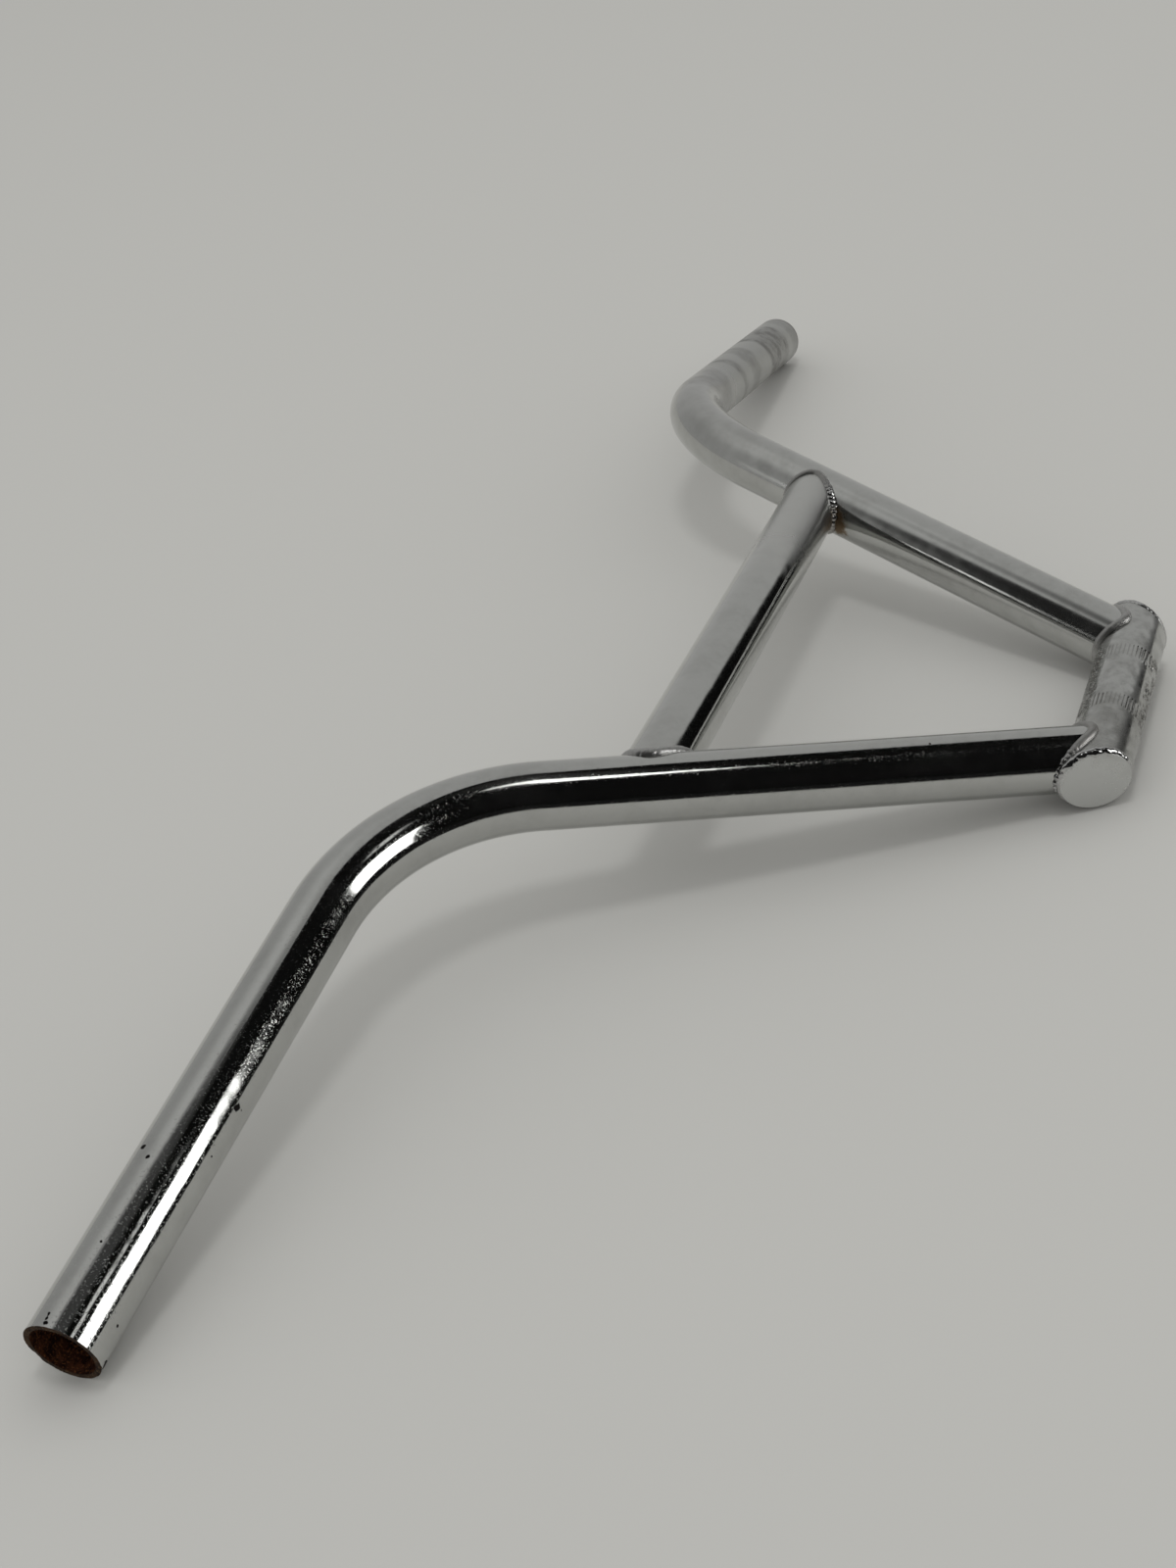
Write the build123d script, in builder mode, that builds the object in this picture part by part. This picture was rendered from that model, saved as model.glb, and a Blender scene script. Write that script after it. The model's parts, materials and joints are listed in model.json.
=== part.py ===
from build123d import *
from math import asin, atan2, cos, hypot, pi, radians, sin, sqrt, tan
import os

# A high-rise handlebar for a small-wheeled dirt bike, in millimetres. Four steel tubes are
# coped to one another and welded: a short clamp tube, two bent bars and a crossbar. The
# clamp tube's ends are mitred along the risers and closed by flat welded plates.
# The bar lies as it does on a table: front up, on the plates' welds and the two grip ends.
# +Z is up, +X points to the rider's left, and the origin is the middle of the clamp tube.
# The rider's right half is modelled, on the -X side, and mirrored for the left one.

# Tubes
bar_radius = 11.1
bar_wall = 1.65
clamp_radius = 11.1
clamp_wall = 2.4
crossbar_radius = 11.1
crossbar_wall = 1.25

# Centre lines, measured in the plane that both risers lie in
riser_foot = 37.5  # middle of the clamp tube to a riser's foot, along the clamp's axis
riser_splay = 29  # degrees that a riser leans outwards
riser_length = 234  # foot to the corner where riser and grip would meet unbent
grip_length = 202  # that corner to the grip's end
bend_radius = 83
upsweep = 1.5  # degrees that a grip rises
backsweep = 12  # degrees that a grip turns back to the rider
crossbar_height = 133

# Coped joints
ear_land = 0.7  # blunt edge left at the tip of each coped ear
vent_radius = 3.0  # hidden holes that let plating fluid drain from tube to tube

# End plates
end_margin = 0.4  # the clamp tube's mitred end stands this far outside the riser
plate_thickness = 1.6
plate_inset = 0.4  # the plate's edge lies this far inside the tube's outside

# Beads round the coped joints, each a row of overlapping puddles
puddle_radius = 2.5
puddle_pitch = 3.0
puddle_sides = 6
puddle_lean = 14  # degrees that each puddle leans on the one before it
puddle_overlap = 1.25  # a puddle's length as a share of the pitch
walk_steps = 720  # fine steps that a bead's line is measured in

# Beads round the end plates, each a mitred ring
ring_radius = 12.0
ring_half_width = 1.2
ring_chamfer = 0.5

flat_count = 24  # flats that go round a tube under and on a bead

# Directions as x, rise and front in the risers' plane
splay = radians(riser_splay)
back = radians(backsweep)
up = radians(upsweep)
lean = radians(puddle_lean)
clamp_way = Vector(1, 0, 0)
rise_way = Vector(0, 1, 0)
front_way = Vector(0, 0, 1)
riser_way = Vector(-sin(splay), cos(splay), 0)
grip_way = Vector(-cos(up) * cos(back), sin(up) * cos(back), -sin(back))
end_way = Vector(-cos(splay), -sin(splay), 0)  # square to the riser, out of the clamp tube

# Places in the risers' plane
foot = clamp_way * -riser_foot
corner = foot + riser_way * riser_length
grip_end = corner + grip_way * grip_length
clamp_end = foot - clamp_way * (bar_radius + end_margin) / cos(splay)
crossbar_joint = foot + riser_way * crossbar_height / cos(splay)

# The bar tips about the clamp's axis until its grip ends are as low as the plates' welds
swing = hypot(grip_end.Y, grip_end.Z)
rest_tilt = 0.0
for settle in range(6):
    grip_slope = grip_way.Y * sin(rest_tilt) + grip_way.Z * cos(rest_tilt)
    rim_drop = bar_radius * sqrt(1 - grip_slope**2)
    rest_tilt = asin((rim_drop - ring_radius) / swing) - atan2(grip_end.Z, grip_end.Y)
riser_plane = Plane(
    origin=(0, 0, 0),
    x_dir=(1, 0, 0),
    z_dir=(0, -sin(rest_tilt), cos(rest_tilt)),
)


def laid(place, facing, across=None):
    """A plane at a place in the risers' plane, facing a direction there, on the lying bar."""
    return Plane(
        origin=riser_plane.from_local_coords(place),
        x_dir=riser_plane.from_local_coords(across) if across else None,
        z_dir=riser_plane.from_local_coords(facing),
    )


def rod(place, facing, radius, length):
    """A solid cylinder, for cutting a seat, a bore or a hole."""
    with BuildPart(mode=Mode.PRIVATE) as solid:
        with BuildSketch(laid(place, facing)):
            Circle(radius)
        extrude(amount=length)
    return solid.part


def flats(place, facing, radius, length):
    """A solid of flats laid close round a tube, for cutting the underside of a bead."""
    with BuildPart(mode=Mode.PRIVATE) as solid:
        with BuildSketch(laid(place, facing, front_way)):
            RegularPolygon(radius, flat_count, major_radius=False)
        extrude(amount=length)
    return solid.part


def ear_height(branch_radius, carrier_radius):
    """How far from the carrying tube's axis a coped ear ends, cut blunt."""
    land_radius = min(branch_radius, carrier_radius) - ear_land
    return sqrt(carrier_radius**2 - land_radius**2)


def joint_line(root, branch_way, branch_radius, carrier_way, carrier_radius):
    """The closed line round a coped joint that its puddles follow, as a function of an angle."""
    line_radius = min(branch_radius, carrier_radius) - ear_land
    outward = branch_way - carrier_way * branch_way.dot(carrier_way)
    lift = outward.length
    across = branch_way.cross(front_way)
    slant = across.dot(outward.normalized())

    def line(turn):
        front = line_radius * sin(turn)
        beside = line_radius * cos(turn)
        climb = (sqrt(carrier_radius**2 - front**2) - beside * slant) / lift
        return root + branch_way * climb + across * beside + front_way * front

    return line


def bead(line, axes):
    """Puddles along a closed line, each one leaning on the one before it like a row of coins.

    axes are the joined tubes' axes, each a place and a direction. A puddle faces away from both.
    """
    points = [line(2 * pi * step / walk_steps) for step in range(walk_steps + 1)]
    walked = [0.0]
    for here, after in zip(points, points[1:]):
        walked.append(walked[-1] + (after - here).length)
    count = round(walked[-1] / puddle_pitch)
    pitch = walked[-1] / count
    planes = []
    for number in range(count):
        step = sum(length <= pitch * number for length in walked) - 1
        heading = (points[step + 1] - points[step]).normalized()
        out = Vector(0, 0, 0)
        for root, way in axes:
            arm = points[step] - root
            out += (arm - way * arm.dot(way)).normalized()
        backwards = heading * -cos(lean) - out.normalized() * sin(lean)
        planes.append(laid(points[step], backwards, out))
    with BuildPart(mode=Mode.PRIVATE) as row:
        with BuildSketch(*planes):
            RegularPolygon(puddle_radius, puddle_sides)
        extrude(amount=puddle_overlap * pitch)
    return row.part


clamp_half = clamp_end.length + clamp_radius * tan(splay)
plate_radius = clamp_radius - plate_inset
clamp_rod = rod(clamp_way * -clamp_half, clamp_way, clamp_radius, 2 * clamp_half)
riser_rod = rod(foot, riser_way, bar_radius, riser_length)
riser_ear = rise_way * ear_height(bar_radius, clamp_radius)
crossbar_ear = crossbar_joint - end_way * ear_height(crossbar_radius, bar_radius)

# Clamp tube
with BuildPart() as clamp_tube:
    with BuildSketch(laid(clamp_way * -clamp_half, clamp_way)):
        Circle(clamp_radius)
        Circle(clamp_radius - clamp_wall, mode=Mode.SUBTRACT)
    extrude(amount=clamp_half)
    split(bisect_by=laid(clamp_end, end_way), keep=Keep.BOTTOM)
    add(rod(foot, riser_way, vent_radius, 2 * clamp_radius), mode=Mode.SUBTRACT)
    mirror(about=Plane.YZ)
clamp_tube.part.label = "clamp_tube"

# Right bar: one tube from its coped foot, round the bend, to its open grip end
with BuildPart() as right_bar:
    with BuildLine() as centre_line:
        stops = [riser_plane.from_local_coords(place) for place in (foot, corner, grip_end)]
        FilletPolyline(stops, radius=bend_radius)
    with BuildSketch(laid(foot, riser_way)):
        Circle(bar_radius)
        Circle(bar_radius - bar_wall, mode=Mode.SUBTRACT)
    sweep(path=centre_line.wire())
    split(bisect_by=laid(riser_ear, rise_way), keep=Keep.TOP)
    add(clamp_rod, mode=Mode.SUBTRACT)
    add(rod(crossbar_joint, clamp_way, vent_radius, 2 * bar_radius), mode=Mode.SUBTRACT)
right_bar.part.label = "right_bar"

# Crossbar between the risers
with BuildPart() as crossbar:
    with BuildSketch(laid(crossbar_joint - clamp_way * crossbar_radius, clamp_way)):
        Circle(crossbar_radius)
        Circle(crossbar_radius - crossbar_wall, mode=Mode.SUBTRACT)
    extrude(amount=-crossbar_joint.X + crossbar_radius)
    split(bisect_by=laid(crossbar_ear, end_way), keep=Keep.BOTTOM)
    add(riser_rod, mode=Mode.SUBTRACT)
    mirror(about=Plane.YZ)
crossbar.part.label = "crossbar"

# Right end plate
with BuildPart() as right_end_plate:
    with BuildSketch(laid(clamp_way * -2 * clamp_half, clamp_way)):
        Circle(plate_radius)
    extrude(amount=2 * clamp_half)
    split(bisect_by=laid(clamp_end, end_way), keep=Keep.TOP)
    split(bisect_by=laid(clamp_end + end_way * plate_thickness, end_way), keep=Keep.BOTTOM)
right_end_plate.part.label = "right_end_plate"

# Flats that the beads lie on
clamp_flats = flats(clamp_way * -2 * clamp_half, clamp_way, clamp_radius, 2 * clamp_half)
plate_flats = flats(clamp_way * -2 * clamp_half, clamp_way, plate_radius, 2 * clamp_half)
riser_flats = flats(foot, riser_way, bar_radius, riser_length)
crossbar_flats = flats(crossbar_joint, clamp_way, crossbar_radius, riser_length)
eared_riser = split(riser_flats, bisect_by=laid(riser_ear, rise_way), keep=Keep.TOP)
eared_crossbar = split(crossbar_flats, bisect_by=laid(crossbar_ear, end_way), keep=Keep.BOTTOM)

# Bead round the riser's foot
with BuildPart() as right_riser_weld:
    line = joint_line(foot, riser_way, bar_radius, clamp_way, clamp_radius)
    add(bead(line, [(foot, riser_way), (foot, clamp_way)]))
    add(clamp_flats, mode=Mode.SUBTRACT)
    add(eared_riser, mode=Mode.SUBTRACT)
    split(bisect_by=laid(clamp_end, end_way), keep=Keep.BOTTOM)
right_riser_weld.part.label = "right_riser_weld"

# Bead round the crossbar's end
with BuildPart() as right_crossbar_weld:
    line = joint_line(crossbar_joint, clamp_way, crossbar_radius, riser_way, bar_radius)
    add(bead(line, [(crossbar_joint, clamp_way), (crossbar_joint, riser_way)]))
    add(riser_flats, mode=Mode.SUBTRACT)
    add(eared_crossbar, mode=Mode.SUBTRACT)
right_crossbar_weld.part.label = "right_crossbar_weld"

# Bead round the end plate's edge
with BuildPart() as right_plate_weld:
    with BuildSketch(laid(clamp_way * -2 * clamp_half, clamp_way, front_way)):
        RegularPolygon(ring_radius, flat_count)
    extrude(amount=2 * clamp_half)
    outer_face = laid(clamp_end + end_way * ring_half_width, end_way)
    inner_face = laid(clamp_end - end_way * ring_half_width, end_way)
    split(bisect_by=outer_face, keep=Keep.BOTTOM)
    split(bisect_by=inner_face, keep=Keep.TOP)
    ends = right_plate_weld.faces().sort_by(Axis.X)
    chamfer(ends[0].edges() + ends[-1].edges(), ring_chamfer)
    add(plate_flats, mode=Mode.SUBTRACT)
    add(clamp_flats, mode=Mode.SUBTRACT)
    add(eared_riser, mode=Mode.SUBTRACT)
    add(right_riser_weld.part, mode=Mode.SUBTRACT)
right_plate_weld.part.label = "right_plate_weld"

os.makedirs("parts", exist_ok=True)
for name, piece in (("clamp_tube", clamp_tube), ("crossbar", crossbar)):
    export_step(piece.part, f"parts/{name}.step")
right_half = {
    "bar": right_bar,
    "end_plate": right_end_plate,
    "riser_weld": right_riser_weld,
    "crossbar_weld": right_crossbar_weld,
    "plate_weld": right_plate_weld,
}
for name, right in right_half.items():
    export_step(right.part, f"parts/right_{name}.step")
    with BuildPart() as left:
        add(mirror(right.part, about=Plane.YZ, mode=Mode.PRIVATE))
    left.part.label = f"left_{name}"
    export_step(left.part, f"parts/left_{name}.step")
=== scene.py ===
# %% [markdown]
# # A chromed BMX handlebar
#
# This lesson dresses a handlebar that is already built as exact solids. The solids are loaded first and
# never moved. Chrome shows every facet, so each tube is modelled again as a fine mesh in the same place.
# The beads get their ripples, the clamp tube its knurling, and each surface its wear.

import json
from math import atan2, cos, degrees, pi, radians, sin, sqrt, tan

import bmesh
import bpy
from mathutils import Matrix, Vector, noise


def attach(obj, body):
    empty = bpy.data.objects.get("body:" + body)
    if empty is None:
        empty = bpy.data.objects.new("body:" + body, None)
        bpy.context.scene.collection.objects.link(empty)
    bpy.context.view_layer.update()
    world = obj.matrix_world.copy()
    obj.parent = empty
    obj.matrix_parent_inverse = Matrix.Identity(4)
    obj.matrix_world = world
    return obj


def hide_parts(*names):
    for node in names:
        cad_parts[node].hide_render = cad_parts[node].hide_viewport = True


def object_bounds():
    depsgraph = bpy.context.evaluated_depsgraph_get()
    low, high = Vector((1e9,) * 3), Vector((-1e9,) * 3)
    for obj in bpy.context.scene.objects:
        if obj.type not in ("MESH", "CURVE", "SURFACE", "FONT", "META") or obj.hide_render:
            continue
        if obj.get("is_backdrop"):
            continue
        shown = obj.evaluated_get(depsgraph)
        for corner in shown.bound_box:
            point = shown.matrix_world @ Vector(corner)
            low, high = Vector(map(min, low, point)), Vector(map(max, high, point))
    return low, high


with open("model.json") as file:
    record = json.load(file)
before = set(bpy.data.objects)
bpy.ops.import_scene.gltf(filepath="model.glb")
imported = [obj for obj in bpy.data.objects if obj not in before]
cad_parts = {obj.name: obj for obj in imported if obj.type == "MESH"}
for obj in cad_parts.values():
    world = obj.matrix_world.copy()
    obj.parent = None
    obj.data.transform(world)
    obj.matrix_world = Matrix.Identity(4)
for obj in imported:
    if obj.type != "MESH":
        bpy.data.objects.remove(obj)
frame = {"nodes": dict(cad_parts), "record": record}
cad_low, cad_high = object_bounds()
print("Solids:", sorted(frame["nodes"]))

# %% [markdown]
# ## Sizes
#
# A handlebar is a few centre lines with tubes round them. The grips' ends, directions and radii come from
# the record's mounts. The rest are the same driving sizes that the solids were built from, here in metres.
# All directions follow from them, so nothing has to be fitted by eye. The fine skin lies a hair under the
# solid's, so that it never stands proud of it.

# %% Tubes and centre lines
mm = 0.001
mounts = {mount["name"]: mount for mount in frame["record"]["mounts"]}
skin_gap = 0.02 * mm
tube_radius = mounts["right_grip"]["dims"]["r_mm"] * mm - skin_gap
bore_radius = mounts["right_bar_end"]["dims"]["r_mm"] * mm
clamp_bore_radius = 8.7 * mm
crossbar_bore_radius = 9.85 * mm
riser_foot = 37.5 * mm
grip_length = 202 * mm
bend_radius = 83 * mm
crossbar_height = 133 * mm
end_margin = 0.4 * mm
plate_thickness = 1.6 * mm

clamp_way = Vector((1, 0, 0))
grip_end = Vector(mounts["right_grip"]["pos_m"])
grip_way = Vector(mounts["right_grip"]["axis"]).normalized()
corner = grip_end - grip_way * grip_length
foot = -riser_foot * clamp_way
riser_way = (corner - foot).normalized()
rise_way = (riser_way - clamp_way * riser_way.dot(clamp_way)).normalized()
front_way = clamp_way.cross(rise_way)
splay = riser_way.angle(rise_way)
end_way = -clamp_way * cos(splay) - rise_way * sin(splay)

bend_turn = riser_way.angle(grip_way)
bend_axis = riser_way.cross(grip_way).normalized()
bend_start = corner - riser_way * bend_radius * tan(bend_turn / 2)
bend_end = corner + grip_way * bend_radius * tan(bend_turn / 2)
bend_centre = bend_start + bend_axis.cross(riser_way) * bend_radius
crossbar_joint = foot + riser_way * crossbar_height / cos(splay)
clamp_end = foot - clamp_way * (tube_radius + end_margin) / cos(splay)
riser_run = (bend_start - foot).length
bend_run = bend_radius * bend_turn
bar_length = riser_run + bend_run + (grip_end - bend_end).length
print("Splay", round(degrees(splay), 2), "bend", round(degrees(bend_turn), 2), "tilt",
      round(degrees(atan2(rise_way.z, rise_way.y)), 2), "bar length", round(bar_length, 4))

# %% [markdown]
# ## Growing a tube from a washer
#
# A tube could be a curve with a bevel, but a mesh grown row by row keeps exact control of its rows. It
# starts as a flat washer of faces, as wide as the wall. Each extrusion of the washer draws out the outer
# skin and the bore together, and the same washer can be carried round a bend. What is left at the far end
# closes the tube.

# %% Helpers for tubes
def once(items):
    """The items in their order, each one once."""
    return list(dict.fromkeys(items))


def square_to(place, way):
    """A matrix that stands a shape at a place, square to a direction."""
    return Matrix.Translation(place) @ way.to_track_quat("Z", "Y").to_matrix().to_4x4()


def ring(bm, matrix, radius, segments):
    """A circle of edges."""
    made = bmesh.ops.create_circle(bm, segments=segments, radius=radius, matrix=matrix)
    return once(edge for vert in made["verts"] for edge in vert.link_edges)


def corners(items):
    """The vertices of some edges or faces, each one once."""
    return once(vert for item in items for vert in item.verts)


def kept(kind, items):
    """Only the edges, or only the faces, of what an operator returns."""
    return [item for item in items if isinstance(item, kind)]


def washer(bm, place, way, outer, inner, segments):
    """A flat washer of faces square to a direction: the section of a tube."""
    rim = ring(bm, square_to(place, way), outer, segments)
    grown = bmesh.ops.extrude_edge_only(bm, edges=rim)["geom"]
    verts = kept(bmesh.types.BMVert, grown)
    bmesh.ops.scale(bm, verts=verts, vec=[inner / outer] * 3, space=Matrix.Translation(-place))
    return kept(bmesh.types.BMFace, grown)


def grow(bm, faces):
    """Extrude a washer in place. The old one goes, unless it closes the tube's start."""
    grown = kept(bmesh.types.BMFace, bmesh.ops.extrude_face_region(bm, geom=faces)["geom"])
    inner = [face for face in faces if any(len(edge.link_faces) > 2 for edge in face.edges)]
    bmesh.ops.delete(bm, geom=inner, context="FACES")
    return grown


def run_on(bm, faces, reach, rows=1):
    """Carry a washer along a straight reach in equal rows, and return it at the far end."""
    for _ in range(rows):
        faces = grow(bm, faces)
        bmesh.ops.translate(bm, verts=corners(faces), vec=reach / rows)
    return faces


def run_round(bm, faces, centre, axis, angle, rows):
    """Carry a washer round a bend in equal rows."""
    turn = Matrix.Rotation(angle / rows, 3, axis)
    for _ in range(rows):
        faces = grow(bm, faces)
        bmesh.ops.rotate(bm, verts=corners(faces), cent=centre, matrix=turn)
    return faces


# %% [markdown]
# ## Nodes in a few words
#
# Materials and the world are trees of nodes. One small function adds a node, sets it and wires it, so that
# a material reads like a recipe further down.

# %% Helpers for nodes
def add(tree, kind, inputs, **settings):
    """Add a node. inputs maps a socket's name or number to a value or to another node's output."""
    made = tree.nodes.new(kind)
    for name, value in settings.items():
        setattr(made, name, value)
    for name, value in inputs.items():
        if isinstance(value, bpy.types.NodeSocket):
            tree.links.new(value, made.inputs[name])
        else:
            made.inputs[name].default_value = value
    return made


def calc(tree, operation, *values):
    """The output of a Math node."""
    return add(tree, "ShaderNodeMath", dict(enumerate(values)), operation=operation).outputs[0]


def times(tree, first, second):
    """The product of two values."""
    return calc(tree, "MULTIPLY", first, second)


def at_least(tree, value, mask, level):
    """A value that rises to a level where a mask is full."""
    return calc(tree, "MAXIMUM", value, times(tree, mask, level))


def ramp(tree, value, low, high, start=0.0, end=1.0):
    """A smooth step of a value from one level to another."""
    inputs = {"Value": value, "From Min": low, "From Max": high, "To Min": start, "To Max": end}
    return add(tree, "ShaderNodeMapRange", inputs, interpolation_type="SMOOTHSTEP").outputs[0]


def blend(tree, factor, first, second):
    """A colour between two others."""
    return add(tree, "ShaderNodeMix", {0: factor, 6: first, 7: second}, data_type="RGBA").outputs[2]


def noise_field(tree, vector, scale, detail=2.0, rough=0.5):
    """A soft random field from 0 to 1."""
    inputs = {"Vector": vector, "Scale": scale, "Detail": detail, "Roughness": rough}
    return add(tree, "ShaderNodeTexNoise", inputs).outputs[0]


def new_material(name, metallic=0.0):
    """A material with one Principled shader, and its parts that get wired."""
    material = bpy.data.materials.new(name)
    material.use_nodes = True
    shader = material.node_tree.nodes["Principled BSDF"]
    shader.inputs["Metallic"].default_value = metallic
    return material, material.node_tree, shader


def wire_shader(tree, shader, colour, rough, distance, height):
    """Wire the colour, the roughness and a bump into the shader."""
    for label, value in (("Base Color", colour), ("Roughness", rough)):
        if isinstance(value, bpy.types.NodeSocket):
            tree.links.new(value, shader.inputs[label])
        else:
            shader.inputs[label].default_value = value
    bumped = add(tree, "ShaderNodeBump", {"Distance": distance, "Height": height})
    tree.links.new(bumped.outputs[0], shader.inputs["Normal"])


# %% [markdown]
# ## Wear as a node group
#
# Old chrome is not one mirror. It has drawn lines along the tube, fine pits where rust has lifted the
# plating, pimples of rust under it, and hazy patches where hands and clamps have rubbed it. All the tubes
# share these, so they are one node group. It reads a vector attribute in which the bent tube is laid out
# straight, so the lines follow the bend. The scales say how many blotches of each kind fit in a metre.

# %% Group for worn plating
drawn_scale = 800
wave_scale = 70
pimple_scale = 1700
patch_scale = 45
mottle_scale = 230
pit_scale = 420
worn_side_scale = 38
drawn_out = (1, 1, 0.05)


def new_group(name, inputs, outputs):
    """An empty node group with its sockets."""
    group = bpy.data.node_groups.new(name, "ShaderNodeTree")
    for label, kind, value in inputs:
        socket = group.interface.new_socket(name=label, in_out="INPUT", socket_type="NodeSocket" + kind)
        if value is not None:
            socket.default_value = value
    for label, kind in outputs:
        group.interface.new_socket(name=label, in_out="OUTPUT", socket_type="NodeSocket" + kind)
    return group, group.nodes.new("NodeGroupInput").outputs, group.nodes.new("NodeGroupOutput")


plating, given, result = new_group(
    "worn_plating",
    [("Place", "Vector", None), ("Grain", "Float", 1.0)],
    [("Haze", "Float"), ("Pits", "Float"), ("Height", "Float")],
)
laid = given["Place"]
stretched = add(plating, "ShaderNodeVectorMath", {0: laid, 1: drawn_out}, operation="MULTIPLY").outputs[0]
drawn = noise_field(plating, stretched, drawn_scale, 3)
waves = noise_field(plating, laid, wave_scale, 2)
pimples = ramp(plating, noise_field(plating, laid, pimple_scale, 3, 0.6), 0.57, 0.82)
patches = noise_field(plating, laid, patch_scale, 4, 0.6)
mottle = noise_field(plating, laid, mottle_scale, 4, 0.6)
wide_haze = times(plating, patches, 0.65)
haze = calc(plating, "ADD", wide_haze, times(plating, mottle, 0.35))
specks = ramp(plating, noise_field(plating, laid, pit_scale, 2), 0.78, 0.81)
pits = times(plating, specks, given["Grain"])
worn_side = ramp(plating, noise_field(plating, laid, worn_side_scale, 2), 0.4, 0.65, 0.75, 1)
fine_lines = times(plating, drawn, 0.16)
raised = calc(plating, "ADD", fine_lines, times(plating, pimples, 0.35))
strength = times(plating, given["Grain"], worn_side)
height = times(plating, calc(plating, "SUBTRACT", raised, pits), strength)
height = calc(plating, "ADD", height, times(plating, waves, 2.0))
for label, value in (("Haze", ramp(plating, haze, 0.4, 0.66)), ("Pits", pits), ("Height", height)):
    plating.links.new(value, result.inputs[label])
print("Group", plating.name, "with", len(plating.nodes), "nodes")

# %% [markdown]
# ## Chrome
#
# Chrome reflects a little over half of the light evenly, so its base colour is a neutral mid grey with full
# metallic. Roughness stays low and rises in the hazy patches. The pits darken it a touch, and a very
# shallow bump breaks up the edges of its highlights as on the real tube. A mark is an attribute of the
# mesh, such as a groove or a bite, that darkens and dulls the plating. A bite's darkening is dirt, and a
# groove's is partly dirt and partly painted shade in its valley. Soil is what lies on it, and a rubbed grip
# has a coarser bump towards its end.

# %% Material for the plated tubes
pit_dirt_and_shade_colour = (0.12, 0.11, 0.1, 1)
bright_tint = (0.99, 1.0, 0.97)
filmed_tint = (0.74, 0.74, 0.71)
marked_roughness = 0.45
plating_bump = 0.03 * mm
rub_start = bar_length - 120 * mm
rub_full = bar_length - 30 * mm


def tinted(tone, tint):
    """A grey of a given tone with a slight tint."""
    return tone * tint[0], tone * tint[1], tone * tint[2], 1


def chrome(name, marks=None, grain=1.0, smooth=0.06, haze=0.06, dull=0.25, tone=0.525,
           soil=None, rubbed=None, metallic=1.0):
    """Worn chrome for a tube that carries the straight attribute."""
    material, tree, shader = new_material(name, metallic)
    place = add(tree, "ShaderNodeAttribute", {}, attribute_name="straight").outputs["Vector"]
    worn = add(tree, "ShaderNodeGroup", {}, node_tree=plating)
    tree.links.new(place, worn.inputs["Place"])
    worn.inputs["Grain"].default_value = grain
    pits_dirt_and_shade = worn.outputs["Pits"]
    rough = ramp(tree, worn.outputs["Haze"], 0, 1, smooth, smooth + haze)
    # Marks darken towards the pit colour: dirt in the bites, dirt and painted shade in the grooves' valleys.
    for label, share in (marks or {}).items():
        mark = add(tree, "ShaderNodeAttribute", {}, attribute_name=label).outputs["Fac"]
        pits_dirt_and_shade = at_least(tree, pits_dirt_and_shade, mark, share)
        rough = at_least(tree, rough, mark, marked_roughness)
    filmed = times(tree, worn.outputs["Haze"], dull)
    colour = blend(tree, filmed, tinted(tone, bright_tint), tinted(tone, filmed_tint))
    colour = blend(tree, pits_dirt_and_shade, colour, pit_dirt_and_shade_colour)
    if soil:
        colour, rough = soil(tree, place, colour, rough)
    height = worn.outputs["Height"]
    if rubbed:
        along = add(tree, "ShaderNodeSeparateXYZ", {0: place}).outputs[2]
        height = times(tree, height, ramp(tree, along, rub_start, rub_full, 1, rubbed))
    wire_shader(tree, shader, colour, rough, plating_bump, height)
    return material


print("Rubbed from", round(rub_start / mm), "to", round(rub_full / mm), "mm along the bar")

# %% [markdown]
# ## What time has left on it
#
# Some marks are local. The near grip has a few chips where the chrome has flaked off down to black steel.
# Each is a mask by distance from a point, with noise to fray its edge. A chip is given by its place in
# millimetres and its size. A painted texture could hold them all, but it would have to be stored as a
# picture.

# %% Chips on the near grip
chips = (
    ((-293.9, 214.6, 20.4), 0.9),
    ((-297.5, 211.1, 20.6), 0.7),
    ((-271.5, 198.2, 17.7), 1.3),
    ((-349.4, 215.0, 10.0), 0.8),
    ((-348.1, 215.3, 10.3), 0.55),
    ((-346.9, 215.5, 10.9), 0.8),
    ((-347.0, 216.0, 9.4), 0.45),
    ((-339.2, 202.3, 1.3), 0.5),
    ((-324.6, 211.5, 15.0), 0.4),
    ((-287.2, 199.0, 13.5), 0.35),
    ((-346.5, 203.8, -5.5), 1.5),
)
chip_black = (0.012, 0.01, 0.01, 1)
chip_fray = 1.6


def near_point(tree, point, radius, fray, scale=900, soft=0.2):
    """A ragged spot round a point."""
    place = add(tree, "ShaderNodeTexCoord", {}).outputs["Object"]
    away = add(tree, "ShaderNodeVectorMath", {0: place, 1: point}, operation="DISTANCE").outputs["Value"]
    ragged = calc(tree, "ADD", away, times(tree, noise_field(tree, place, scale, 3), fray))
    return ramp(tree, ragged, radius + fray / 2, radius + fray / 2 - radius * soft)


def chipped(tree, place, colour, rough):
    """Black flakes on the near grip."""
    for point, size in chips:
        centre = [value * mm for value in point]
        spot = near_point(tree, centre, size * mm, chip_fray * size * mm)
        colour = blend(tree, spot, colour, chip_black)
        rough = at_least(tree, rough, spot, 0.6)
    return colour, rough


print(len(chips), "chips, the largest", max(size for _, size in chips), "mm")

# %% [markdown]
# The far crossbar joint weeps rust from its inner corner, and the crossbar turns from bright to satin
# towards it. The rust is a spot like a chip, only larger and softer. The satin starts at a length along the
# tube.

# %% Rust and satin at the far joint
rust_corner = (93 * mm, 118.8 * mm, 22 * mm)
rust_reach = 8 * mm
rust_fray = 7 * mm
rust_brown = (0.17, 0.105, 0.045, 1)
satin_white = (0.62, 0.62, 0.6, 1)
satin_start = 25 * mm
satin_full = 75 * mm
satin_fray = 30 * mm


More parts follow.
